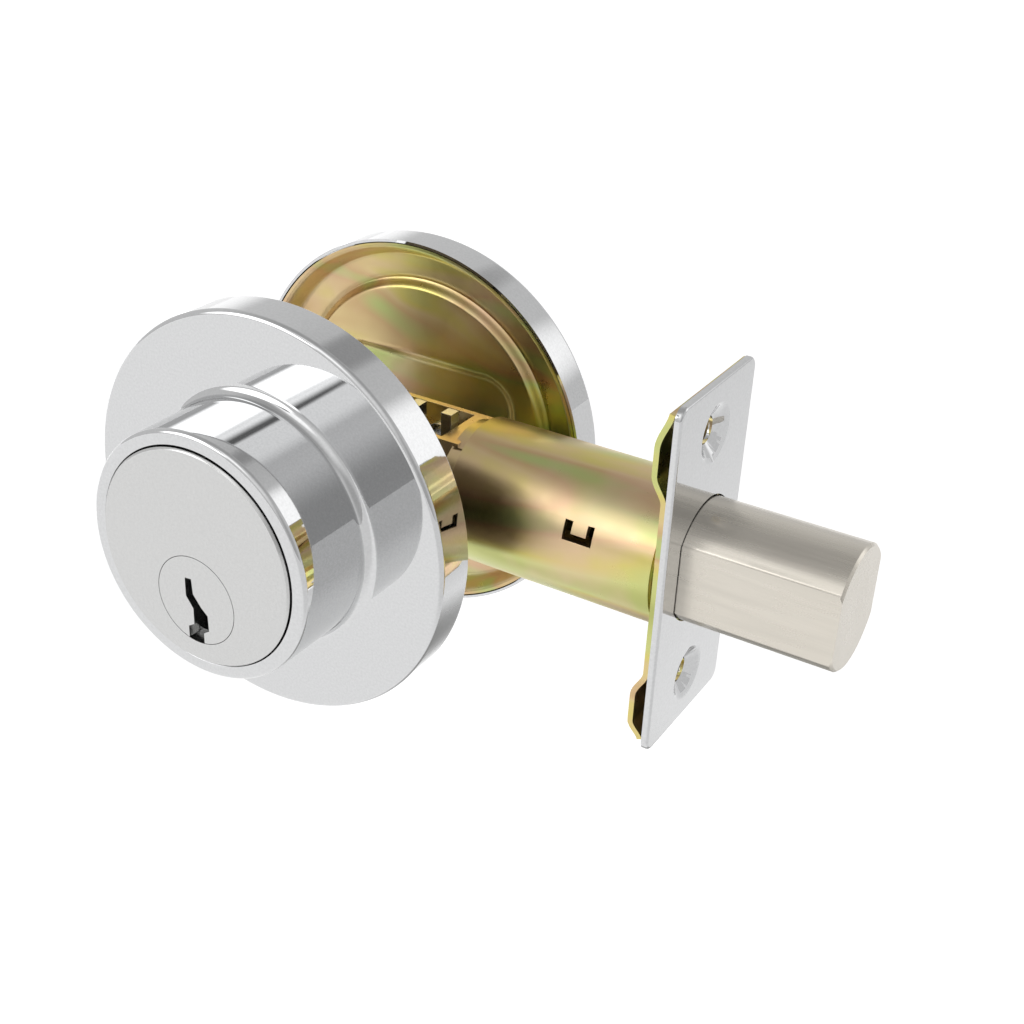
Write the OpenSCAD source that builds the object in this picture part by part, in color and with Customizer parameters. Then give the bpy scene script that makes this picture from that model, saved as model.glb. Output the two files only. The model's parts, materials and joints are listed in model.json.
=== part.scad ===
/* [Door and bore] */
// Distance from the hub line to the front of the faceplate
backset = 60.3; // [58:0.1:62]
// Distance from the bolt's centre line to the outside face of the door
outside_face = 21.3; // [21:0.1:24]
// Distance from the bolt's centre line to the inside face of the door
inside_face = 11.8; // [11.8:0.1:14]
// How far the keyway, hub and thumbturn axis lies below the bolt's centre line
hub_drop = 6.9; // [6.7:0.1:7.1]

/* [Roses] */
// Radius of both round roses
rose_r = 32.8; // [32.6:0.1:34]
// Thickness of the outside rose
rose_t = 7.1; // [7:0.1:8]
// Thickness of the inside rose
inside_rose_t = 6.5; // [6.4:0.1:8]
// Rounding of a rose's outer edge
rose_edge = 0.9; // [0.5:0.1:1.2]
// Radius of the collar round the cylinder
collar_r = 19.9; // [19.8:0.1:21]
// How far the collar stands out from the rose
collar_h = 14.9; // [14.5:0.1:16]
// Fillet where the collar meets the rose
collar_fillet = 1.8; // [1:0.1:2.5]
// Rounding of the collar's front edge
collar_edge = 0.8; // [0.5:0.1:1]

/* [Lock cylinder] */
// Radius of the cylinder's round face
face_r = 17.4; // [17.2:0.05:17.6]
// How far that face stands out from the collar
face_proud = 0.5; // [0:0.1:1]
// Radius of the plug's head in that face
plug_head_r = 7.15; // [7:0.05:7.4]
// Radius of the plug behind its head
plug_r = 6.35; // [6.2:0.05:6.4]
// Distance between two pin chambers
pin_pitch = 3.96; // [3.8:0.02:4]
// Lengths of the key pins, front to back
key_pin_lengths = [3.1, 4.0, 2.8, 3.6, 3.3];

/* [Bolt] */
// Throw of the bolt
throw = 24.4; // [24:0.1:25.4]
// Radius of the bolt
bolt_r = 9.7; // [9.5:0.05:9.7]
// Width of the bolt across its two flats
bolt_w = 16; // [15.5:0.1:16]
// Length of the bolt without its tail
bolt_l = 37.7; // [37:0.1:38]
// Radius of the hardened pin inside the bolt
core_r = 3; // [2.5:0.1:3.2]

/* [Bolt housing] */
// Outer radius of the tube
tube_r = 11.65; // [11.6:0.05:11.7]
// Wall of the tube
tube_wall = 1; // [0.8:0.1:1]
// Where the tube starts, measured from the hub line
tube_back = 22; // [22:0.1:22.2]
// Where the tube ends, measured from the hub line
tube_front = 57.4; // [57:0.1:57.6]
// Half the distance between the two case plates, outside
case_half = 5.8; // [5.8:0.1:5.9]
// Thickness of the case's sheet
case_sheet = 1; // [0.9:0.05:1]

/* [Faceplate] */
// Height of the faceplate
plate_h = 57.15; // [56:0.05:58]
// Width of the faceplate
plate_w = 25.4; // [25:0.1:28.6]
// Thickness of the faceplate
plate_t = 1.1; // [1:0.1:1.2]
// Corner radius of the faceplate
plate_corner = 2; // [0.5:0.1:3]
// Distance between the faceplate's screw holes
screw_pitch = 41.3; // [41:0.1:42]
// Radius of the faceplate's screw holes
screw_hole_r = 2.25; // [2.2:0.05:2.4]
// Radius of their countersinks
sink_r = 4.7; // [4.4:0.1:5]

/* [Through screws] */
// Distance of each through screw from the hub line
through_x = 18.4; // [18.3:0.1:18.5]
// Radius of a through screw
through_r = 2.4; // [2.2:0.1:2.4]

/* [Hidden] */
$fn = 96;
// Excess that makes a cutter pass clear through a face
cut = 0.5;
// Radial clearance of a turning fit
turn_gap = 0.05;

// Outside lock, along Y
rose_front = -outside_face - rose_t;
collar_front = rose_front - collar_h;
face_y = collar_front - face_proud;
shoulder_y = face_y + 11.1;
flange_back = -outside_face - 2.3;
body_back = face_y + 26;
plug_back = body_back + 0.5;
head_t = 2.15;
bore_r = plug_r + turn_gap;
hub_z = -hub_drop;
shear_z = hub_z + bore_r;
pin_y = [for (i = [0:4]) face_y + 5.2 + i * pin_pitch];
pin_r = 1.45;
chamber_r = 1.6;
chamber_top = 10.5;
driver_l = 4.4;
retainer_front = body_back + 0.15;
retainer_l = 3.75;
retainer_wall = 0.6;

// Tailpiece and crank
tail_w = 4.6;
tail_t = 1.8;
slot_gap = 0.1;
tail_end = 13;
crank_reach = throw / 2 * sqrt(2);
crank_pin_r = 1.5;
crank_x = throw / 2;
crank_z = hub_z + throw / 2;
arm_y = 1.5;
arm_t = 2;
hub_r = 4.2;
trunnion_r = 3.6;

// Bolt
bolt_front = backset + throw;
bolt_back = bolt_front - bolt_l;
tail_sheet = 2.2;
fork_gap = crank_pin_r + 0.6;
fork_arm = 1.9;
tail_low = -2;
tail_high = crank_z - crank_pin_r - 0.1;
fork_top = 11.4;
rivet_x = bolt_back + 4;
rivet_r = 1.25;

// Bolt housing
case_in = case_half - case_sheet;
case_low = -11.25;
case_high = 9.5;
case_rear = -9.5;
sleeve_r = tube_r - tube_wall - 0.05;
sleeve_in = bolt_r + 0.15;
sleeve_back = bolt_back + 0.5;
plate_back = backset - plate_t;
back_t = 0.9;
channel_d = 1.8;
strap_x = 16.95;

// Inside trim, along Y
rose_back = inside_face + inside_rose_t;
flange_y = inside_face + 3.6;
pad_y = inside_face + 2.4;
boss_y = inside_face + 0.4;
boss_r = 9;
sheet = 0.9;
pad_r = 25.2;
spindle_r = 4.5;
spindle_hole = spindle_r + 0.08;

// Points along an arc in the plane of a profile
function arc(x, y, r, from, to, n = 6) =
    [for (i = [0:n]) let (a = from + (to - from) * i / n) [x + r * cos(a), y + r * sin(a)]];

// Turns a shape drawn along Z so that it runs along Y
module along_y(x = 0, y = 0, z = 0) {
    translate([x, y, z]) rotate([-90, 0, 0]) children();
}

// Turns a shape drawn along Z so that it runs along X
module along_x(x = 0) {
    translate([x, 0, 0]) rotate([0, 90, 0]) children();
}

// Round bar along Y
module bar_y(from, to, r, x = 0, z = 0) {
    along_y(x, from, z) cylinder(h = to - from, r = r);
}

// Round bar along X
module bar_x(from, to, r) {
    along_x(from) cylinder(h = to - from, r = r);
}

// Block given by its two corners
module block(low, high) {
    translate(low) cube(high - low);
}

// Shape drawn in X and Z, given thickness along Y
module slab_y(from, to) {
    translate([0, to, 0]) rotate([90, 0, 0]) linear_extrude(to - from) children();
}

// Rectangle with round corners
module round_rectangle(w, h, r) {
    square([w - 2 * r, h], center = true);
    square([w, h - 2 * r], center = true);
    for (x = [-1, 1], y = [-1, 1]) translate([x * (w / 2 - r), y * (h / 2 - r)]) circle(r = r);
}

// Round wire wound into an upright spring
module wound_spring(r, wire, height, turns, steps = 12, sides = 6) {
    rings = turns * steps;
    rise = (height - 2 * wire) / rings;
    points = [
        for (i = [0:rings], j = [0:sides - 1])
            let (a = 360 * i / steps, b = 360 * j / sides, reach = r + wire * cos(b))
            [reach * cos(a), reach * sin(a), wire + rise * i + wire * sin(b)]
    ];
    walls = [
        for (i = [0:rings - 1], j = [0:sides - 1])
            let (k = (j + 1) % sides)
            [i * sides + j, (i + 1) * sides + j, (i + 1) * sides + k, i * sides + k]
    ];
    start = [for (j = [0:sides - 1]) j];
    end = [for (j = [sides - 1:-1:0]) rings * sides + j];
    polyhedron(points, concat([start, end], walls));
}

// Disc, collar and hollow back of the outside rose in one turned piece
module outside_rose() {
    wall = 1.8;
    plate = 2.2;
    neck_r = face_r + 0.2;
    seat_r = 18.8;
    back = -outside_face;
    profile = concat(
        [[rose_r - wall, back], [rose_r, back]],
        arc(rose_r - rose_edge, rose_front + rose_edge, rose_edge, 0, -90),
        arc(collar_r + collar_fillet, rose_front - collar_fillet, collar_fillet, 90, 180),
        arc(collar_r - collar_edge, collar_front + collar_edge, collar_edge, 0, -90),
        [
            [neck_r, collar_front], [neck_r, shoulder_y], [seat_r, shoulder_y],
            [seat_r, rose_front + plate], [rose_r - wall, rose_front + plate]
        ]
    );
    color("gainsboro") along_y() rotate_extrude() polygon(profile);
}

// Stepped body that carries the plug and the pin chambers
module cylinder_body() {
    edge = 0.3;
    color("silver") difference() {
        union() {
            along_y(0, face_y) cylinder(h = edge, r1 = face_r - edge, r2 = face_r);
            bar_y(face_y + edge, shoulder_y + 0.1, face_r);
            bar_y(shoulder_y + 0.1, flange_back, 18.6);
            bar_y(flange_back, body_back, 15);
        }
        bar_y(face_y - cut, body_back + cut, bore_r, z = hub_z);
        bar_y(face_y - cut, face_y + head_t + 0.1, plug_head_r + 0.1, z = hub_z);
        for (y = pin_y) translate([0, y, hub_z]) cylinder(h = 30, r = chamber_r);
    }
}

// Outline of the keyway, drawn round the plug's axis
module keyway_outline() {
    polygon([
        [-1.9, 3.3], [-0.7, 3.4], [-0.5, 0.9], [0.9, -0.9], [2.1, -2.0],
        [2.2, -4.6], [1.2, -5.3], [1.2, -7.4], [-1.7, -7.4], [-1.7, -5.0],
        [-0.6, -4.3], [-0.6, -1.6], [-1.9, 0.2]
    ]);
}

// Turning plug with its keyway and pin holes
module cylinder_plug() {
    color("silver") difference() {
        union() {
            bar_y(face_y, face_y + head_t, plug_head_r, z = hub_z);
            bar_y(face_y + head_t, plug_back, plug_r, z = hub_z);
            bar_y(plug_back, plug_back + 1.8, 4.5, z = hub_z);
        }
        translate([0, 0, hub_z]) slab_y(face_y - cut, plug_back - 2.5) keyway_outline();
        for (y = pin_y) translate([0, y, hub_z + 1.5]) cylinder(h = 8, r = 1.5);
    }
}

// Five pins that the key lifts to the shear line
module key_pins() {
    top = hub_z + sqrt(pow(plug_r, 2) - pow(pin_r, 2)) - 0.02;
    tip = 0.8;
    color("darkgoldenrod") for (i = [0:4]) {
        low = top - key_pin_lengths[i];
        translate([0, pin_y[i], low]) cylinder(h = tip, r1 = 0.6, r2 = pin_r);
        translate([0, pin_y[i], low + tip]) cylinder(h = key_pin_lengths[i] - tip, r = pin_r);
    }
}

// Five pins above the shear line
module driver_pins() {
    color("lightslategray") for (y = pin_y) {
        translate([0, y, shear_z]) cylinder(h = driver_l, r = pin_r);
    }
}

// Springs over the driver pins
module pin_springs() {
    color("slategray") for (y = pin_y) {
        translate([0, y, shear_z + driver_l])
            wound_spring(1.05, 0.22, chamber_top - shear_z - driver_l, 5);
    }
}

// Discs that close the pin chambers
module chamber_plugs() {
    color("goldenrod") for (y = pin_y) {
        translate([0, y, chamber_top]) cylinder(h = 2, r = chamber_r - 0.02);
    }
}

// Cap on the back of the plug that holds the tailpiece
module plug_retainer() {
    end = retainer_front + retainer_l;
    color("silver") difference() {
        bar_y(retainer_front, end, 7.2, z = hub_z);
        bar_y(retainer_front - cut, plug_back, plug_r + 0.05, z = hub_z);
        bar_y(plug_back - cut, end - retainer_wall, 4.55, z = hub_z);
        bar_y(end - cut - retainer_wall, end + cut, 3, z = hub_z);
    }
}

// Flat bar that carries the plug's turn through the hub to the thumbturn
module tailpiece() {
    washer_front = plug_back + 1.8;
    color("silver") {
        bar_y(washer_front, retainer_front + retainer_l - retainer_wall, 4, z = hub_z);
        block([-tail_t / 2, washer_front + 1, hub_z - tail_w / 2], [tail_t / 2, tail_end, hub_z + tail_w / 2]);
    }
}

// Steel disc inside the outside rose that the screws pull against
module outside_plate() {
    color("darkkhaki") difference() {
        bar_y(flange_back + 0.1, -outside_face - 0.2, rose_r - 2);
        bar_y(flange_back - cut, -outside_face + cut, 15.2);
        for (x = [-1, 1]) bar_y(flange_back - cut, -outside_face + cut, 3, x * through_x, hub_z);
    }
}

// Tapped posts riveted into the outside plate
module screw_posts() {
    post_end = -tube_r + 1.1;
    color("darkgray") for (x = [-1, 1]) difference() {
        union() {
            bar_y(-outside_face - 2.2, -outside_face, 3, x * through_x, hub_z);
            bar_y(-outside_face - 0.2, post_end, 3.5, x * through_x, hub_z);
        }
        bar_y(-outside_face - 3, post_end + cut, through_r + 0.1, x * through_x, hub_z);
    }
}

// Two screws that draw the inside plate and the outside plate together
module mounting_screws() {
    head = pad_y + sheet;
    head_h = 1.4;
    color("silver") for (x = [-1, 1]) difference() {
        union() {
            bar_y(head, head + head_h, 4.2, x * through_x, hub_z);
            bar_y(-outside_face + 1, head + 0.1, through_r, x * through_x, hub_z);
        }
        for (turn = [0, 90]) translate([x * through_x, head + head_h, hub_z]) rotate([0, turn, 0])
            cube([4.5, 1.8, 0.9], center = true);
    }
}

// Tube round the bolt, with a lanced window in its side
module case_tube() {
    window = [42.6, 47.4];
    sill = 2.6;
    lintel = 5.5;
    color("darkkhaki") difference() {
        bar_x(tube_back, tube_front, tube_r);
        bar_x(tube_back - cut, tube_front + cut, tube_r - tube_wall);
        difference() {
            block([window[0], -tube_r - cut, sill], [window[1], 0, lintel]);
            block([window[0] + 1.2, -tube_r - 1, sill + 1.1], [window[1] - 1, 1, lintel + 1]);
        }
    }
}

// Thin sleeve that guides the bolt through the backplate
module guide_sleeve() {
    color("rosybrown") difference() {
        bar_x(sleeve_back, plate_back, sleeve_r);
        bar_x(sleeve_back - cut, plate_back + cut, sleeve_in);
    }
}

// Folded case: front collar, two side plates, top strap and floor
module mechanism_case() {
    collar_back = 19.6;
    collar_end = 30;
    plate_end = tube_back + 0.2;
    color("darkkhaki") difference() {
        union() {
            difference() {
                bar_x(collar_back, collar_end, tube_r - tube_wall);
                bar_x(collar_back - cut, collar_end + cut, bolt_r + 0.25);
            }
            intersection() {
                union() {
                    for (side = [-1, 1]) {
                        middle = side * (case_half - case_sheet / 2);
                        block([case_rear, middle - case_sheet / 2, case_low],
                              [plate_end, middle + case_sheet / 2, case_high]);
                    }
                    block([strap_x, -case_in - 0.1, case_high - case_sheet],
                          [collar_back + 0.5, case_in + 0.1, case_high]);
                    block([5, -case_in - 0.1, case_low], [collar_back + 0.5, case_in + 0.1, case_low + 0.9]);
                }
                union() {
                    bar_x(case_rear - cut, collar_back + 1, 12.68);
                    bar_x(collar_back, plate_end + cut, tube_r - tube_wall - 0.1);
                }
            }
        }
        bar_y(-case_half - cut, case_half + cut, trunnion_r + turn_gap, z = hub_z);
        bar_y(-12, 12, 2.8, through_x, hub_z);
    }
}

// One face of the backplate's sheet, which dips back into a channel between two heights
function channel_line(x, from, to, ramp, n = 8) =
    concat(
        [for (i = [0:n]) [x - channel_d * (1 - cos(180 * i / n)) / 2, from + ramp * i / n]],
        [for (i = [0:n]) [x - channel_d * (1 + cos(180 * i / n)) / 2, to - ramp * (n - i) / n]]
    );

// Plate behind the faceplate, pressed back into two channels for the screws
module backplate() {
    flat = plate_back - back_t;
    low = -26;
    high = 27.6;
    ledge = 14.4;
    ramp = 2.6;
    lip = back_t / 2;
    behind = concat(
        channel_line(flat, low, -ledge, ramp),
        channel_line(flat, ledge, high, ramp)
    );
    before = concat(
        channel_line(plate_back, low + lip, -ledge - lip, ramp),
        channel_line(plate_back, ledge + lip, high - lip, ramp)
    );
    count = len(before);
    color("darkkhaki") difference() {
        slab_y(-plate_w / 2 + 0.2, plate_w / 2 - 0.2) polygon(concat(
            behind, [[plate_back, high]],
            [for (i = [1:count]) before[count - i]],
            [[plate_back, low]]
        ));
        bar_x(flat - channel_d - cut, plate_back + cut, sleeve_r);
        for (side = [-1, 1]) translate([0, 0, side * screw_pitch / 2])
            bar_x(flat - channel_d - cut, plate_back + cut, 2.8);
    }
}

// Chromed plate on the door's edge, with dished screw holes
module faceplate() {
    dish = 2.15;
    color("gainsboro") difference() {
        union() {
            along_x(plate_back) linear_extrude(plate_t) round_rectangle(plate_h, plate_w, plate_corner);
            for (side = [-1, 1]) translate([0, 0, side * screw_pitch / 2])
                along_x(backset - dish) cylinder(h = dish - plate_t, r1 = 3.1, r2 = 4.2);
        }
        intersection() {
            bar_x(plate_back - cut, backset + cut, bolt_r + 0.25);
            block([plate_back - 1, -bolt_w / 2 - 0.25, -12], [backset + 1, bolt_w / 2 + 0.25, 12]);
        }
        for (side = [-1, 1]) translate([0, 0, side * screw_pitch / 2]) {
            bar_x(backset - dish - cut, backset + cut, screw_hole_r);
            along_x(backset - 1.6) cylinder(h = 1.6, r1 = screw_hole_r, r2 = sink_r);
            along_x(backset) cylinder(h = cut, r = sink_r);
        }
    }
}

// Round bolt with two flats, slotted for its tail and bored for the hardened pin
module bolt() {
    edge = 0.4;
    color("linen") difference() {
        intersection() {
            along_x(bolt_back) rotate_extrude() polygon([
                [0, 0], [bolt_r, 0], [bolt_r, bolt_l - edge], [bolt_r - edge, bolt_l], [0, bolt_l]
            ]);
            block([bolt_back - 1, -bolt_w / 2, -12], [bolt_front + 1, bolt_w / 2, 12]);
        }
        block([bolt_back - 1, -tail_sheet / 2 - 0.05, tail_low - 0.2],
              [bolt_back + 8, tail_sheet / 2 + 0.05, tail_high + 0.2]);
        bar_x(bolt_back - 1, bolt_front - 6, core_r + 0.05);
        bar_y(-10, 10, rivet_r, rivet_x, 1);
    }
}

// Hardened pin that spins free inside the bolt against a saw
module bolt_core_pin() {
    color("dimgray") bar_x(bolt_back + 8.2, bolt_front - 6.2, core_r);
}

// Sheet tail with the open fork that the crank pin works in
module bolt_tail() {
    half = fork_gap + fork_arm;
    color("silver") difference() {
        union() {
            block([crank_x - half, -tail_sheet / 2, tail_low], [bolt_back + 7.8, tail_sheet / 2, tail_high]);
            for (side = [-1, 1]) {
                middle = crank_x + side * (fork_gap + fork_arm / 2);
                block([middle - fork_arm / 2, -tail_sheet / 2, tail_high - 0.5],
                      [middle + fork_arm / 2, tail_sheet / 2, fork_top]);
            }
        }
        bar_y(-2, 2, rivet_r + 0.02, rivet_x, 1);
    }
}

// Rivet through the bolt and its tail
module tail_rivet() {
    color("gray") bar_y(-bolt_w / 2, bolt_w / 2, rivet_r, rivet_x, 1);
}

// Hub with a slot for the tailpiece and the arm of the crank
module crank_hub() {
    color("silver") difference() {
        union() {
            bar_y(-case_in + 0.2, case_in - 0.2, hub_r, z = hub_z);
            bar_y(-case_half - 0.4, case_half + 0.4, trunnion_r, z = hub_z);
            translate([0, 0, hub_z]) rotate([0, -45, 0])
                block([0, arm_y, -2.5], [crank_reach, arm_y + arm_t, 2.5]);
            bar_y(arm_y, arm_y + arm_t, 2.5, crank_x, crank_z);
        }
        block([-tail_t / 2 - slot_gap, -10, hub_z - tail_w / 2 - slot_gap],
              [tail_t / 2 + slot_gap, 10, hub_z + tail_w / 2 + slot_gap]);
        bar_y(arm_y - cut, arm_y + arm_t + cut, crank_pin_r, crank_x, crank_z);
    }
}

// Pin riveted into the crank arm
module crank_pin() {
    color("whitesmoke") {
        bar_y(-tail_sheet / 2 - 0.5, arm_y + arm_t + 0.1, crank_pin_r, crank_x, crank_z);
        bar_y(arm_y + arm_t, arm_y + arm_t + 0.8, 2.1, crank_x, crank_z);
    }
}

// Pressed plate on the door side of the inside rose
module inside_plate() {
    bend = flange_y - pad_y;
    profile = concat(
        [[0, pad_y]],
        arc(pad_r - bend, flange_y, bend, -90, 0),
        [
            [rose_r - 1.4, flange_y], [rose_r - 1.4, flange_y + sheet], [pad_r - 0.9, flange_y + sheet],
            [pad_r - 0.9, flange_y + 0.2], [pad_r - 1.4, pad_y + sheet], [0, pad_y + sheet]
        ]
    );
    recess = 1;
    back = pad_y + recess + sheet;
    color("darkkhaki") difference() {
        union() {
            difference() {
                union() {
                    along_y() rotate_extrude() polygon(profile);
                    slab_y(pad_y + 0.1, back) recess_outline(sheet);
                }
                slab_y(pad_y - cut, pad_y + recess) recess_outline(0);
            }
            bar_y(boss_y, back, boss_r, z = hub_z);
        }
        bar_y(boss_y + sheet, back + cut, boss_r - sheet, z = hub_z);
        bar_y(boss_y - cut, pad_y + 2, spindle_hole, z = hub_z);
        for (x = [-1, 1]) bar_y(pad_y - 3, pad_y + 2, through_r + 0.2, x * through_x, hub_z);
    }
}

// Outline of the channel pressed into the inside plate
module recess_outline(grow) {
    translate([0, 5.35]) round_rectangle(37.6 + 2 * grow, 13.7 + 2 * grow, 6.6 + grow);
}

// Hollow rose on the room side
module inside_rose() {
    wall = 1.3;
    roof = 1.6;
    profile = concat(
        [[0, rose_back - roof], [rose_r - wall, rose_back - roof], [rose_r - wall, inside_face]],
        [[rose_r, inside_face]],
        arc(rose_r - rose_edge, rose_back - rose_edge, rose_edge, 0, 90),
        [[0, rose_back]]
    );
    color("gainsboro") difference() {
        along_y() rotate_extrude() polygon(profile);
        bar_y(rose_back - roof - cut, rose_back + cut, spindle_hole, z = hub_z);
    }
}

// Turn knob with its spindle and the socket for the tailpiece
module thumbturn() {
    base = rose_back + 0.1;
    groove = boss_y + sheet + 0.1;
    color("gainsboro") difference() {
        union() {
            bar_y(inside_face - 3, base + 1, spindle_r, z = hub_z);
            along_y(0, base, hub_z) rotate_extrude()
                polygon(concat([[0, 0], [11, 0]], arc(9.5, 1, 1.5, 0, 90), [[0, 2.5]]));
            translate([0, 0, hub_z - 3]) linear_extrude(6) {
                translate([-9, base + 1]) square([18, 14.5]);
                for (x = [-1, 1]) translate([x * 9, base + 8.5]) circle(r = 7);
            }
        }
        block([-tail_t / 2 - slot_gap, inside_face - 4, hub_z - tail_w / 2 - slot_gap],
              [tail_t / 2 + slot_gap, tail_end + 2, hub_z + tail_w / 2 + slot_gap]);
        along_y(0, groove, hub_z) difference() {
            cylinder(h = 1, r = spindle_r + 1);
            translate([0, 0, -1]) cylinder(h = 3, r = spindle_r - 0.6);
        }
    }
}

// Open ring that keeps the spindle in the inside plate
module thumbturn_clip() {
    color("dimgray") along_y(0, boss_y + sheet + 0.2, hub_z) difference() {
        cylinder(h = 0.8, r = 6);
        translate([0, 0, -1]) cylinder(h = 3, r = spindle_r - 0.6);
        translate([-1.5, -8, -1]) cube([3, 8, 3]);
    }
}

outside_rose();
cylinder_body();
cylinder_plug();
key_pins();
driver_pins();
pin_springs();
chamber_plugs();
plug_retainer();
tailpiece();
outside_plate();
screw_posts();
mounting_screws();
case_tube();
guide_sleeve();
mechanism_case();
backplate();
faceplate();
bolt();
bolt_core_pin();
bolt_tail();
tail_rivet();
crank_hub();
crank_pin();
inside_plate();
inside_rose();
thumbturn();
thumbturn_clip();
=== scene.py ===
import json
import math

import bmesh
import bpy
from mathutils import Matrix, Vector

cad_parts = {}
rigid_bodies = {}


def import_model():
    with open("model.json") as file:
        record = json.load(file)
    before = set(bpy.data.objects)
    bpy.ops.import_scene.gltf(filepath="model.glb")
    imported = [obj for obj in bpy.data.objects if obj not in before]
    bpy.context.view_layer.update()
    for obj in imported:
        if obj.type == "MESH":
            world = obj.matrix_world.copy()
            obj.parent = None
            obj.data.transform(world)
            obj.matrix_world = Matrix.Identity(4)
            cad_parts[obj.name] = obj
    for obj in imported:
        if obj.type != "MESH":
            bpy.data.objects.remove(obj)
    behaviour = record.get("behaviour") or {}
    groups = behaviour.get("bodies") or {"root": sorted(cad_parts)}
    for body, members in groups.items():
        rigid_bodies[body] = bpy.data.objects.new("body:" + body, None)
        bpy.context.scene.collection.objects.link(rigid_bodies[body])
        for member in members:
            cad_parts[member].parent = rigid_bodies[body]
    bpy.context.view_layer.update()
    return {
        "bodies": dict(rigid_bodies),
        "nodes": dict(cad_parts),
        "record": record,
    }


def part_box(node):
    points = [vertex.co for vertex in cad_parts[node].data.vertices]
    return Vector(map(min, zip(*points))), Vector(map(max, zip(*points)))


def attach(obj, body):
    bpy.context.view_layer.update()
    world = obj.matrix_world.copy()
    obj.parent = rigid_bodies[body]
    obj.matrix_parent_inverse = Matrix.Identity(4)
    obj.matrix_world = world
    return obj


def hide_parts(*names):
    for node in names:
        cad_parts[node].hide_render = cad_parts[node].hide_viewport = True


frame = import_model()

MM = 0.001
HUB_Z = -6.9          # height of the axis that the plug, crank and thumbturn turn about
HUB_HOLE_R = 4.58     # hole for the thumbturn's stem, in the inside rose and its plate
TURN_STEPS = 192      # facets round a turned rose
NEAR = 0.01           # how close a point counts as lying on an edge
CREASE = 35           # degrees from which a mesh edge is shaded sharp
SHARP_EDGE = 40       # degrees from which a CAD edge is rounded
CAD = frame["nodes"]
ROOM = bpy.context.scene.collection


# ---------------------------------------------------------------- node tools

def link(tree, source, target):
    tree.links.new(source, target)


def add(tree, kind, **values):
    """A node of this kind, with its settings and the inputs that are given by name."""
    node = tree.nodes.new(kind)
    for key, value in values.items():
        if hasattr(node, key):
            setattr(node, key, value)
        else:
            node.inputs[key.replace("_", " ")].default_value = value
    return node


def new_group(name, inputs, outputs):
    """An empty shader group with named inputs (name, kind, value) and outputs (name, kind)."""
    group = bpy.data.node_groups.new(name, "ShaderNodeTree")
    for label, kind, value in inputs:
        socket = group.interface.new_socket(name=label, in_out="INPUT", socket_type=kind)
        if value is not None:
            socket.default_value = value
    for label, kind in outputs:
        group.interface.new_socket(name=label, in_out="OUTPUT", socket_type=kind)
    return group, group.nodes.new("NodeGroupInput"), group.nodes.new("NodeGroupOutput")


def ramp(tree, factor, stops, interpolation="LINEAR"):
    """Colour ramp from (position, grey or colour) stops."""
    node = tree.nodes.new("ShaderNodeValToRGB")
    node.color_ramp.interpolation = interpolation
    elements = node.color_ramp.elements
    while len(elements) < len(stops):
        elements.new(0.5)
    for element, (position, colour) in zip(elements, stops):
        element.position = position
        if not isinstance(colour, tuple):
            colour = (colour,) * 3
        element.color = (*colour, 1)
    link(tree, factor, node.inputs["Fac"])
    return node.outputs["Color"]


def make_grain_group():
    """Fine polishing or brushing marks: noise drawn out along one axis."""
    group, inp, out = new_group(
        "polishing_marks",
        [("Vector", "NodeSocketVector", None), ("Stretch", "NodeSocketVector", (1, 1, 1)),
         ("Scale", "NodeSocketFloat", 600.0), ("Low", "NodeSocketFloat", 0.2),
         ("High", "NodeSocketFloat", 0.3)],
        [("Height", "NodeSocketFloat"), ("Roughness", "NodeSocketFloat")])
    squeeze = add(group, "ShaderNodeVectorMath", operation="MULTIPLY")
    link(group, inp.outputs["Vector"], squeeze.inputs[0])
    link(group, inp.outputs["Stretch"], squeeze.inputs[1])
    fine = add(group, "ShaderNodeTexNoise", Detail=5.0, Roughness=0.6)
    link(group, squeeze.outputs[0], fine.inputs["Vector"])
    link(group, inp.outputs["Scale"], fine.inputs["Scale"])
    broad = add(group, "ShaderNodeTexNoise", Scale=70.0, Detail=3.0)
    link(group, inp.outputs["Vector"], broad.inputs["Vector"])
    blend = add(group, "ShaderNodeMix", data_type="FLOAT")
    blend.inputs["Factor"].default_value = 0.5
    link(group, fine.outputs["Fac"], blend.inputs[2])
    link(group, broad.outputs["Fac"], blend.inputs[3])
    spread = add(group, "ShaderNodeMapRange")
    spread.inputs["From Min"].default_value = 0.35
    spread.inputs["From Max"].default_value = 0.65
    link(group, blend.outputs[0], spread.inputs["Value"])
    link(group, inp.outputs["Low"], spread.inputs["To Min"])
    link(group, inp.outputs["High"], spread.inputs["To Max"])
    link(group, fine.outputs["Fac"], out.inputs["Height"])
    link(group, spread.outputs["Result"], out.inputs["Roughness"])
    return group


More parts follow.
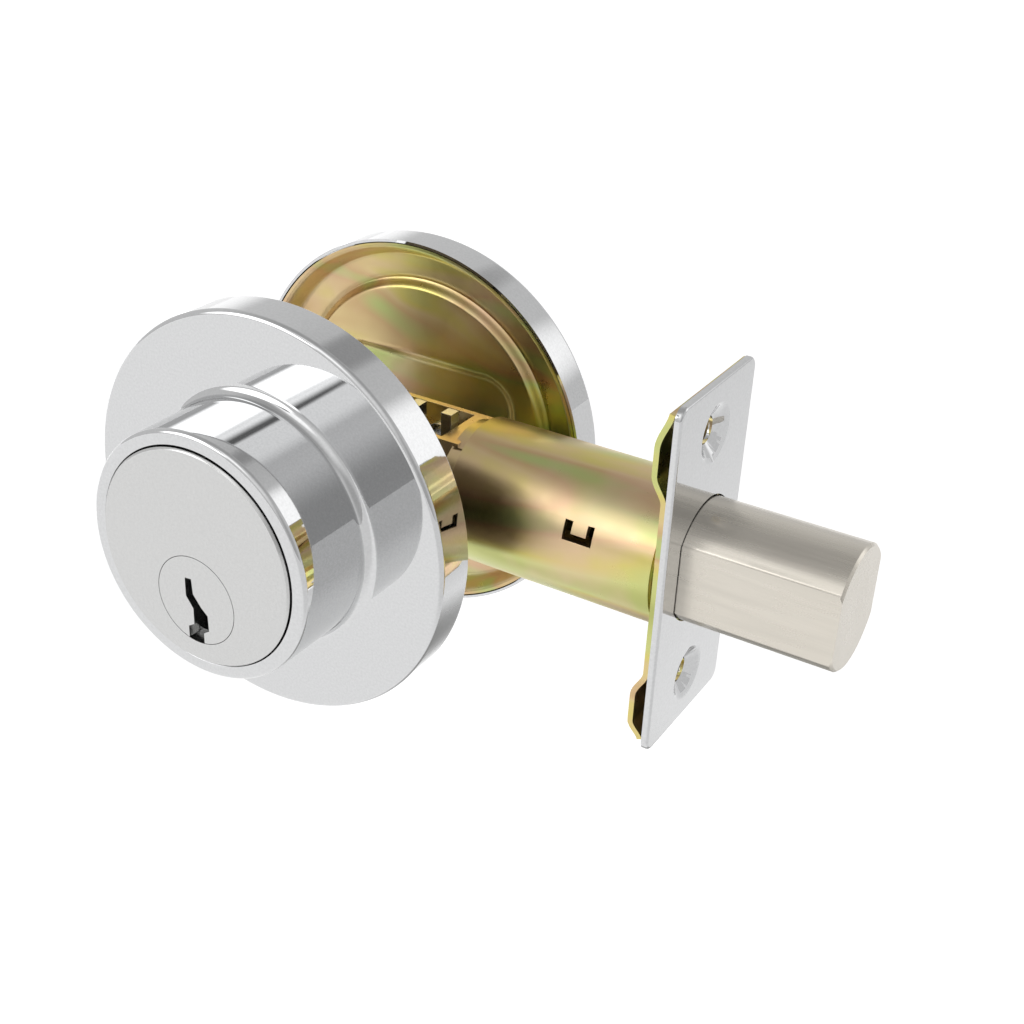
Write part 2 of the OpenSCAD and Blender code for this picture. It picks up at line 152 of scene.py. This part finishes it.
def make_film_group():
    """Chromate film on zinc: soft bands of olive, gold, pink and green that run along the part."""
    group, inp, out = new_group(
        "chromate_film",
        [("Vector", "NodeSocketVector", None), ("Stretch", "NodeSocketVector", (1, 1, 1)),
         ("Scale", "NodeSocketFloat", 60.0), ("Bloom", "NodeSocketFloat", 0.5)],
        [("Color", "NodeSocketColor")])
    squeeze = add(group, "ShaderNodeVectorMath", operation="MULTIPLY")
    link(group, inp.outputs["Vector"], squeeze.inputs[0])
    link(group, inp.outputs["Stretch"], squeeze.inputs[1])
    bands = add(group, "ShaderNodeTexNoise", Detail=2.0, Roughness=0.45, Distortion=0.6)
    link(group, squeeze.outputs[0], bands.inputs["Vector"])
    link(group, inp.outputs["Scale"], bands.inputs["Scale"])
    base = ramp(group, bands.outputs["Fac"], [
        (0.28, (0.44, 0.46, 0.16)), (0.38, (0.58, 0.60, 0.23)), (0.45, (0.66, 0.57, 0.18)),
        (0.51, (0.68, 0.53, 0.27)), (0.57, (0.60, 0.42, 0.22)), (0.64, (0.48, 0.54, 0.21)),
        (0.74, (0.66, 0.57, 0.20))])
    patches = add(group, "ShaderNodeTexNoise", Scale=62.0, Detail=3.0, Roughness=0.5)
    link(group, inp.outputs["Vector"], patches.inputs["Vector"])
    pink = add(group, "ShaderNodeMix", data_type="RGBA", blend_type="MIX")
    pink.inputs[7].default_value = (0.74, 0.50, 0.38, 1)
    mask = add(group, "ShaderNodeMapRange")
    mask.inputs["From Min"].default_value = 0.48
    mask.inputs["From Max"].default_value = 0.64
    link(group, patches.outputs["Fac"], mask.inputs["Value"])
    link(group, inp.outputs["Bloom"], mask.inputs["To Max"])
    link(group, mask.outputs["Result"], pink.inputs["Factor"])
    link(group, base, pink.inputs[6])
    link(group, pink.outputs[2], out.inputs["Color"])
    return group


MARKS = make_grain_group()
FILM = make_film_group()


def metal(name, colour, low, high, scale, bump, stretch=(1, 1, 1)):
    """Metal with polishing marks in its roughness and relief, and in its tone if it has a colour."""
    material = bpy.data.materials.new(name)
    material.use_nodes = True
    tree = material.node_tree
    shader = tree.nodes["Principled BSDF"]
    shader.inputs["Metallic"].default_value = 1
    place = add(tree, "ShaderNodeTexCoord").outputs["Object"]
    marks = add(tree, "ShaderNodeGroup", node_tree=MARKS)
    for key, value in (("Stretch", stretch), ("Scale", scale), ("Low", low), ("High", high)):
        marks.inputs[key].default_value = value
    link(tree, place, marks.inputs["Vector"])
    link(tree, marks.outputs["Roughness"], shader.inputs["Roughness"])
    if colour:
        darker = tuple(c * 0.94 for c in colour)
        lighter = tuple(min(c * 1.04, 1) for c in colour)
        tone = ramp(tree, marks.outputs["Height"], [(0.3, darker), (0.7, lighter)])
        link(tree, tone, shader.inputs["Base Color"])
    relief = add(tree, "ShaderNodeBump")
    relief.inputs["Strength"].default_value = bump
    relief.inputs["Distance"].default_value = 0.0001
    link(tree, marks.outputs["Height"], relief.inputs["Height"])
    link(tree, relief.outputs["Normal"], shader.inputs["Normal"])
    return material


def zinc(name, stretch, scale, bloom, low, high):
    """Zinc plating whose colour is the chromate film on it."""
    material = metal(name, None, low, high, scale=300.0, bump=0.03)
    tree = material.node_tree
    shader = tree.nodes["Principled BSDF"]
    film = add(tree, "ShaderNodeGroup", node_tree=FILM)
    film.inputs["Stretch"].default_value = stretch
    film.inputs["Scale"].default_value = scale
    film.inputs["Bloom"].default_value = bloom
    link(tree, add(tree, "ShaderNodeTexCoord").outputs["Object"], film.inputs["Vector"])
    link(tree, film.outputs["Color"], shader.inputs["Base Color"])
    return material


FINISH = {
    "chrome": metal("chrome", (0.645, 0.648, 0.652), 0.02, 0.05, scale=2500.0, bump=0.002),
    "satin_chrome": metal("satin_chrome", (0.61, 0.61, 0.605), 0.18, 0.26, scale=2600.0, bump=0.02),
    "yellow_zinc": zinc("yellow_zinc", (0.25, 1, 1), 75.0, 0.45, 0.26, 0.36),
    "bolt_nickel": metal("bolt_nickel", (0.66, 0.62, 0.55), 0.22, 0.34, 900.0, 0.06, (0.05, 1, 1)),
    "bright_steel": metal("bright_steel", (0.6, 0.6, 0.59), 0.16, 0.3, scale=700.0, bump=0.04),
    "dark_steel": metal("dark_steel", (0.22, 0.22, 0.23), 0.3, 0.45, scale=500.0, bump=0.05),
    "brass": metal("brass", (0.75, 0.55, 0.24), 0.18, 0.3, scale=700.0, bump=0.04),
    "sleeve_zinc": zinc("sleeve_zinc", (0.3, 1, 1), 90.0, 1.0, 0.16, 0.26),
}
SLOT_OF = {entry["node"]: entry["material_slot"] for entry in frame["record"]["subparts"]}
# Outside plate in near-black zinc: painted shade for the hollow behind the outside rose, in place of
# the plate's own plating colour.
SHADE_DARK_ZINC = metal("shade_dark_zinc", (0.10, 0.08, 0.05), 0.4, 0.55, scale=400.0, bump=0.05)
for node, slot in SLOT_OF.items():
    CAD[node].data.materials.clear()
    CAD[node].data.materials.append(SHADE_DARK_ZINC if node == "outside_plate" else FINISH[slot])


# ---------------------------------------------------------------- piece tools

def body_of(node):
    """Name of the body that carries a CAD node."""
    for body, empty in frame["bodies"].items():
        if CAD[node].parent is empty:
            return body


def finish_piece(name, bm, node):
    """Makes the bmesh, drawn in millimetres, into a smooth piece that stands for a CAD node."""
    bmesh.ops.scale(bm, vec=(MM, MM, MM), verts=bm.verts)
    mesh = bpy.data.meshes.new(name)
    bm.to_mesh(mesh)
    bm.free()
    mesh.polygons.foreach_set("use_smooth", [True] * len(mesh.polygons))
    mesh.set_sharp_from_angle(angle=math.radians(CREASE))
    piece = bpy.data.objects.new(name, mesh)
    ROOM.objects.link(piece)
    slot = SLOT_OF[node]
    mesh.materials.append(FINISH[slot])
    level = piece.modifiers.new("even_normals", "WEIGHTED_NORMAL")
    level.keep_sharp = True
    level.weight = 80
    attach(piece, body_of(node))
    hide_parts(node)


def merged_copy(node):
    """A CAD node's mesh in millimetres, its triangles joined and its flat faces made whole."""
    bm = bmesh.new()
    bm.from_mesh(CAD[node].data)
    bmesh.ops.scale(bm, vec=(1 / MM,) * 3, verts=bm.verts)
    bmesh.ops.remove_doubles(bm, verts=bm.verts, dist=0.002)
    bmesh.ops.dissolve_limit(bm, angle_limit=math.radians(0.3), verts=bm.verts, edges=bm.edges,
                             use_dissolve_boundaries=False)
    return bm


def softened(name, node, width, segments, where=None):
    """A CAD node's shape with its sharp outward edges rounded, or those that where() picks."""
    bm = merged_copy(node)
    edges = [e for e in bm.edges if e.is_manifold and e.is_convex
             and e.calc_face_angle(0) > math.radians(SHARP_EDGE)
             and (where is None or where(e))]
    bmesh.ops.bevel(bm, geom=edges, offset=width, offset_type="OFFSET", segments=segments,
                    profile=0.5, affect="EDGES", material=-1, clamp_overlap=True)
    finish_piece(name, bm, node)


def turned(corners, rounds):
    """Closed ring turned about the Y axis from (radius, y) corners; rounds is {corner: radius}."""
    bm = bmesh.new()
    points = [bm.verts.new((r, y, 0)) for r, y in corners]
    edges = [bm.edges.new(pair) for pair in zip(points, points[1:] + points[:1])]
    bmesh.ops.spin(bm, geom=points + edges, cent=(0, 0, 0), axis=(0, 1, 0),
                   angle=math.tau, steps=TURN_STEPS, use_merge=True)
    bmesh.ops.remove_doubles(bm, verts=bm.verts, dist=0.001)
    bmesh.ops.recalc_face_normals(bm, faces=bm.faces)
    for index, radius in rounds.items():
        r, y = corners[index]
        ring = [e for e in bm.edges
                if all(abs(v.co.y - y) < NEAR and abs(math.hypot(v.co.x, v.co.z) - r) < NEAR
                       for v in e.verts)]
        bmesh.ops.bevel(bm, geom=ring, offset=radius, offset_type="OFFSET", segments=8,
                        profile=0.5, affect="EDGES", material=-1)
    return bm


def box_mm(node):
    """Lowest and highest corner of a CAD node's box, in millimetres."""
    low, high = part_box(node)
    return low / MM, high / MM


# ---------------------------------------------------------------- pieces

def make_outside_rose():
    """Rose and collar in one: a cup with a stepped bore for the cylinder."""
    low, high = box_mm("outside_rose")
    back, front, r = high.y, low.y, high.x
    side_wall, face_wall = 1.8, 2.2
    face = back - 7.1
    behind_face = face + face_wall
    collar_r, bore_r, socket_r = 19.9, 17.6, 18.8
    bore_end = front + 10.6
    corners = [(r - side_wall, back), (r, back), (r, face), (collar_r, face), (collar_r, front),
               (bore_r, front), (bore_r, bore_end), (socket_r, bore_end),
               (socket_r, behind_face), (r - side_wall, behind_face)]
    bm = turned(corners, {1: 0.2, 2: 0.9, 3: 1.8, 4: 0.8, 5: 0.12})
    finish_piece("rose_and_collar", bm, "outside_rose")


def smooth_step(value, low, high):
    """0 up to low, 1 from high, and an S-curve between them."""
    t = min(max((value - low) / (high - low), 0), 1)
    return t * t * (3 - 2 * t)


def channel_distance(x, z):
    """How far a point lies outside the channel's outline, a bar with round ends."""
    half_w, half_h, r, middle = 18.8, 6.85, 6.6, 5.35
    dx = abs(x) - (half_w - r)
    dz = abs(z - middle) - (half_h - r)
    return math.hypot(max(dx, 0), max(dz, 0)) + min(max(dx, dz), 0) - r


def make_inside_rose():
    """Thin cup with a round corner and a hole for the thumbturn's stem."""
    low, high = box_mm("inside_rose")
    door, room, r = low.y, high.y, high.x
    wall, face_wall, corner_r = 0.45, 1.6, 0.9
    inner = r - 3
    behind_face = room - face_wall
    corners = [(inner, room), (r, room), (r, door), (r - wall, door), (r - wall, behind_face)]
    bm = bmesh.new()
    points = [bm.verts.new((radius, y, 0)) for radius, y in corners]
    edges = [bm.edges.new(pair) for pair in zip(points, points[1:])]
    bmesh.ops.spin(bm, geom=points + edges, cent=(0, 0, 0), axis=(0, 1, 0),
                   angle=math.tau, steps=TURN_STEPS, use_merge=True)
    bmesh.ops.remove_doubles(bm, verts=bm.verts, dist=0.001)
    corner = [e for e in bm.edges if all(abs(v.co.y - room) < NEAR
                                         and math.hypot(v.co.x, v.co.z) > r - NEAR for v in e.verts)]
    bmesh.ops.bevel(bm, geom=corner, offset=corner_r, offset_type="OFFSET", segments=6, profile=0.5,
                    affect="EDGES", material=-1)
    hole = []
    for y in (room, behind_face):
        ring = bmesh.ops.create_circle(bm, segments=96, radius=HUB_HOLE_R)["verts"]
        bmesh.ops.rotate(bm, verts=ring, cent=(0, 0, 0), matrix=Matrix.Rotation(math.pi / 2, 3, "X"))
        bmesh.ops.translate(bm, verts=ring, vec=(0, y, HUB_Z))
        hole.append(ring)
    for y, outer, ring in ((room, inner, hole[0]), (behind_face, r - wall, hole[1])):
        rim = [e for e in bm.edges if e.is_boundary and abs(e.verts[0].co.y - y) < NEAR
               and abs(e.verts[1].co.y - y) < NEAR
               and math.hypot(e.verts[0].co.x, e.verts[0].co.z) > outer - 0.05]
        bore = [e for e in bm.edges if e.verts[0] in ring and e.verts[1] in ring]
        bmesh.ops.bridge_loops(bm, edges=rim + bore)
    bore = [e for e in bm.edges if any(all(v in ring for v in e.verts) for ring in hole)]
    bmesh.ops.bridge_loops(bm, edges=bore)
    bmesh.ops.recalc_face_normals(bm, faces=bm.faces)
    finish_piece("room_rose", bm, "inside_rose")


def make_inside_plate():
    """One pressed sheet: rolled rim, flange, raised pad, sunk channel and hub boss."""
    low, high = box_mm("inside_plate")
    door = low.y - 0.4
    rim = high.x + 0.75
    pad, ridge, dip, drop, channel, boss = 2.4, 1.4, 0.3, 3.4, 1.4, 0.4
    screw_x, screw_hole_r = 18.4, 2.6
    bm = bmesh.new()
    radii = ([0.01] + [0.5 * i for i in range(1, 48)] + [23.8 + 0.2 * i for i in range(10)]
             + [25.8 + 0.4 * i for i in range(8)] + [29 + 0.25 * i for i in range(13)] + [rim])
    line = [bm.verts.new((r, 0, 0)) for r in radii]
    edges = [bm.edges.new(pair) for pair in zip(line, line[1:])]
    bmesh.ops.spin(bm, geom=line + edges, cent=(0, 0, 0), axis=(0, 1, 0), angle=math.tau,
                   steps=288, use_merge=True)
    bmesh.ops.remove_doubles(bm, verts=bm.verts, dist=0.02)
    for v in bm.verts:
        r = math.hypot(v.co.x, v.co.z)
        y = pad + ridge * smooth_step(r, 23.9, 25.5) - dip * smooth_step(r, 25.4, 26.0)
        y -= drop * smooth_step(r, 29.4, 31.7)
        y += channel * (1 - smooth_step(channel_distance(v.co.x, v.co.z), -1.8, 0.3))
        hub = 1 - smooth_step(math.hypot(v.co.x, v.co.z - HUB_Z), 8.3, 9.4)
        y += (boss - y) * hub
        v.co.y = door + y
    for x, r in ((0, HUB_HOLE_R), (-screw_x, screw_hole_r), (screw_x, screw_hole_r)):
        inner = [f for f in bm.faces if math.hypot(f.calc_center_median().x - x,
                                                   f.calc_center_median().z - HUB_Z) < r]
        bmesh.ops.delete(bm, geom=inner, context="FACES")
        for v in bm.verts:
            gap = Vector((v.co.x - x, v.co.z - HUB_Z))
            if v.is_boundary and gap.length < r + 0.8:
                gap *= r / gap.length
                v.co.x, v.co.z = x + gap.x, HUB_Z + gap.y
    bmesh.ops.recalc_face_normals(bm, faces=bm.faces)
    if sum(f.normal.y for f in bm.faces) > 0:
        bmesh.ops.reverse_faces(bm, faces=bm.faces)
    bmesh.ops.solidify(bm, geom=bm.faces, thickness=0.8)
    finish_piece("pressed_inside_plate", bm, "inside_plate")


def snap_hole(bm, z, r):
    """Opens a round hole, on the middle line at height z, in a fine sheet that faces X."""
    middle = Vector((0, z))
    inner = [f for f in bm.faces if (f.calc_center_median().yz - middle).length < r]
    bmesh.ops.delete(bm, geom=inner, context="FACES")
    for v in bm.verts:
        gap = v.co.yz - middle
        if v.is_boundary and gap.length < r + 0.6:
            gap *= (r / gap.length - 1)
            v.co.y += gap.x
            v.co.z += gap.y


def channel_depth(z, low_start, low_full, high_full, high_start):
    """Depth of a pressed channel at a height, from 0 at its ends to 1 along its floor."""
    return smooth_step(z, low_start, low_full) * (1 - smooth_step(z, high_full, high_start))


def make_backplate():
    """Sheet with two channels pressed across it, which stand on the floor of the mortise."""
    channels = ((13.8, 18.0, 22.0, 28.2), (-26.4, -23.6, -19.0, -14.6))
    pressed = 1.8
    tube_hole_r, screw_hole_r, screw_z = 10.65, 2.8, 20.65
    low, high = box_mm("backplate")
    front = high.x
    bottom, top = low.z - 0.3, high.z
    half = high.y
    bm = bmesh.new()
    bmesh.ops.create_grid(bm, x_segments=110, y_segments=50, size=1)
    for v in bm.verts:
        z = bottom + (v.co.x + 1) / 2 * (top - bottom)
        y = v.co.y * half
        depth = pressed * sum(channel_depth(z, *heights) for heights in channels)
        v.co = (front - depth, y, z)
    for z, r in ((0, tube_hole_r), (screw_z, screw_hole_r), (-screw_z, screw_hole_r)):
        snap_hole(bm, z, r)
    bmesh.ops.recalc_face_normals(bm, faces=bm.faces)
    if sum(f.normal.x for f in bm.faces) < 0:
        bmesh.ops.reverse_faces(bm, faces=bm.faces)
    bmesh.ops.solidify(bm, geom=bm.faces, thickness=0.85)
    finish_piece("curved_backplate", bm, "backplate")


def on_front_outline(edge):
    """Whether an edge of the faceplate lies on the outline of its front, not at a hole."""
    front, side, end = 60.2, 10.6, 26.4
    return all(v.co.x > front and (abs(v.co.y) > side or abs(v.co.z) > end) for v in edge.verts)


def make_softened_parts():
    softened("lock_face", "cylinder_body", 0.1, 2)
    softened("key_plug", "cylinder_plug", 0.12, 2)
    softened("tube", "case_tube", 0.12, 2)
    softened("edge_plate", "faceplate", 0.5, 4, where=on_front_outline)
    softened("thrown_bolt", "bolt", 0.3, 3)
    softened("case", "mechanism_case", 0.2, 2)
    softened("fork_tail", "bolt_tail", 0.2, 2)
    softened("crank", "crank_hub", 0.2, 2)
    softened("turn_knob", "thumbturn", 0.8, 4)


make_outside_rose()
make_inside_rose()
make_inside_plate()
make_backplate()
make_softened_parts()


# ---------------------------------------------------------------- studio

def place_camera():
    """Camera above the keyway's side, turned towards the door edge, aimed a little off the origin."""
    azimuth, elevation, roll = 29.849, 28.684, 2.852
    across, rise, reach = 23.361, -10.189, 251.72
    data = bpy.data.cameras.new("camera")
    data.lens = 53.17
    data.sensor_width = 36
    camera = bpy.data.objects.new("camera", data)
    ROOM.objects.link(camera)
    turn = Matrix.Rotation(math.radians(azimuth), 4, "Z")
    tilt = Matrix.Rotation(math.radians(90 - elevation), 4, "X")
    lean = Matrix.Rotation(math.radians(roll), 4, "Z")
    camera.matrix_world = turn @ tilt @ lean @ Matrix.Translation(Vector((across, rise, reach)) * MM)
    bpy.context.scene.camera = camera


def staged_square(name, half, centre, material):
    """Level square of studio scenery."""
    mesh = bpy.data.meshes.new(name)
    bm = bmesh.new()
    bmesh.ops.create_grid(bm, x_segments=1, y_segments=1, size=half)
    bmesh.ops.translate(bm, verts=bm.verts, vec=centre)
    bm.to_mesh(mesh)
    bm.free()
    square = bpy.data.objects.new(name, mesh)
    ROOM.objects.link(square)
    mesh.materials.append(material)
    return square


def make_floor():
    """White paper far below the lock, whose own light fades beyond the end of the bolt."""
    depth, half = 0.3, 6
    material = bpy.data.materials.new("floor_paper")
    material.use_nodes = True
    tree = material.node_tree
    shader = tree.nodes["Principled BSDF"]
    shader.inputs["Base Color"].default_value = (0.8, 0.8, 0.8, 1)
    shader.inputs["Roughness"].default_value = 0.9
    shader.inputs["Specular IOR Level"].default_value = 0.1
    shader.inputs["Emission Strength"].default_value = 1
    across = add(tree, "ShaderNodeSeparateXYZ")
    link(tree, add(tree, "ShaderNodeTexCoord").outputs["Object"], across.inputs[0])
    fade = ramp(tree, across.outputs["X"], [(0.10, 0.45), (0.40, 0.24)], "EASE")
    link(tree, fade, shader.inputs["Emission Color"])
    staged_square("floor", half, (0, 0, -depth), material)


def make_shade_card():
    """Soft-edged dark card under the lock, seen only in its reflections."""
    centre = (0.05, 0.075, -0.16)
    material = bpy.data.materials.new("shade_card")
    material.use_nodes = True
    tree = material.node_tree
    shader = tree.nodes["Principled BSDF"]
    shader.inputs["Base Color"].default_value = (0.25, 0.25, 0.24, 1)
    shader.inputs["Roughness"].default_value = 1
    mapping = add(tree, "ShaderNodeMapping")
    mapping.inputs["Location"].default_value = tuple(-c for c in centre)
    link(tree, add(tree, "ShaderNodeTexCoord").outputs["Object"], mapping.inputs["Vector"])
    distance = add(tree, "ShaderNodeVectorMath", operation="LENGTH")
    link(tree, mapping.outputs["Vector"], distance.inputs[0])
    fade = ramp(tree, distance.outputs["Value"], [(0.035, 0.85), (0.125, 0.0)], "EASE")
    link(tree, fade, shader.inputs["Alpha"])
    card = staged_square("shade_card", 0.13, centre, material)
    for ray in ("camera", "diffuse", "shadow", "transmission", "volume_scatter"):
        setattr(card, "visible_" + ray, False)


def softbox(name, place, size, radiance):
    """One-sided lit panel that faces the lock and is itself out of sight."""
    data = bpy.data.lights.new(name, "AREA")
    data.shape = "RECTANGLE"
    data.size, data.size_y = size
    data.energy = radiance * math.pi * size[0] * size[1]
    lamp = bpy.data.objects.new(name, data)
    lamp.location = place
    lamp.rotation_mode = "QUATERNION"
    lamp.rotation_quaternion = Vector(place).to_track_quat("Z", "Y")
    lamp.visible_camera = False
    ROOM.objects.link(lamp)


def make_panel_group():
    """How far a direction lies inside a round patch of wall: 1 in its middle, 0 beyond its edge."""
    group, inp, out = new_group(
        "wall_patch",
        [("Direction", "NodeSocketVector", None), ("Centre", "NodeSocketVector", (0, 0, 1)),
         ("Edge", "NodeSocketFloat", 0.8), ("Full", "NodeSocketFloat", 0.9),
         ("Strength", "NodeSocketFloat", 1.0)],
        [("Light", "NodeSocketFloat")])
    aim = add(group, "ShaderNodeVectorMath", operation="NORMALIZE")
    link(group, inp.outputs["Centre"], aim.inputs[0])
    facing = add(group, "ShaderNodeVectorMath", operation="DOT_PRODUCT")
    link(group, inp.outputs["Direction"], facing.inputs[0])
    link(group, aim.outputs["Vector"], facing.inputs[1])
    inside = add(group, "ShaderNodeMapRange", interpolation_type="SMOOTHSTEP")
    link(group, facing.outputs["Value"], inside.inputs["Value"])
    link(group, inp.outputs["Edge"], inside.inputs["From Min"])
    link(group, inp.outputs["Full"], inside.inputs["From Max"])
    link(group, inp.outputs["Strength"], inside.inputs["To Max"])
    link(group, inside.outputs["Result"], out.inputs["Light"])
    return group


# Each patch: the direction of its middle, the cosines from that middle at which it ends and at
# which it is full, and its strength, which is below 0 where it darkens the wall.
WALL_PATCHES = (
    ((0, 0, 1), 0.50, 0.98, -0.26),
    ((-0.58, -0.68, 0.44), 0.925, 0.965, 2.0),
    ((-0.15, -0.68, 0.71), 0.94, 0.99, 0.55),
    ((0.10, -0.69, 0.72), 0.75, 1.0, 0.3),
    ((-0.335, -0.68, 0.645), 0.990, 0.9965, -1.3),
    ((0.80, -0.58, 0.20), 0.80, 1.0, -0.22),
    ((-0.05, 0.74, 0.67), 0.985, 0.998, -0.25),
    ((0.60, 0.69, 0.40), 0.945, 0.99, 0.72),
    ((-0.65, 0.70, -0.15), 0.90, 0.985, 0.55),
)


def light_room():
    """Pale room, dimmer overhead, with lit patches of wall and darker gaps between them."""
    wall, darkest = 0.72, 0.22
    world = bpy.data.worlds.new("studio")
    bpy.context.scene.world = world
    world.use_nodes = True
    tree = world.node_tree
    direction = add(tree, "ShaderNodeTexCoord").outputs["Generated"]
    patch = make_panel_group()
    total = None
    for centre, edge, full, strength in WALL_PATCHES:
        node = add(tree, "ShaderNodeGroup", node_tree=patch)
        for key, value in (("Centre", centre), ("Edge", edge), ("Full", full), ("Strength", strength)):
            node.inputs[key].default_value = value
        link(tree, direction, node.inputs["Direction"])
        plus = add(tree, "ShaderNodeMath", operation="ADD")
        plus.inputs[0].default_value = wall
        if total:
            link(tree, total, plus.inputs[0])
        link(tree, node.outputs["Light"], plus.inputs[1])
        total = plus.outputs[0]
    least = add(tree, "ShaderNodeMath", operation="MAXIMUM")
    least.inputs[1].default_value = darkest
    link(tree, total, least.inputs[0])
    link(tree, least.outputs[0], tree.nodes["Background"].inputs["Strength"])
    tree.nodes["Background"].inputs["Color"].default_value = (1, 1, 1, 1)
    bpy.context.scene.view_settings.view_transform = "Standard"


place_camera()
make_floor()
make_shade_card()
softbox("low_box", (-0.27, 0.31, -0.17), (0.28, 0.2), 1.3)
light_room()
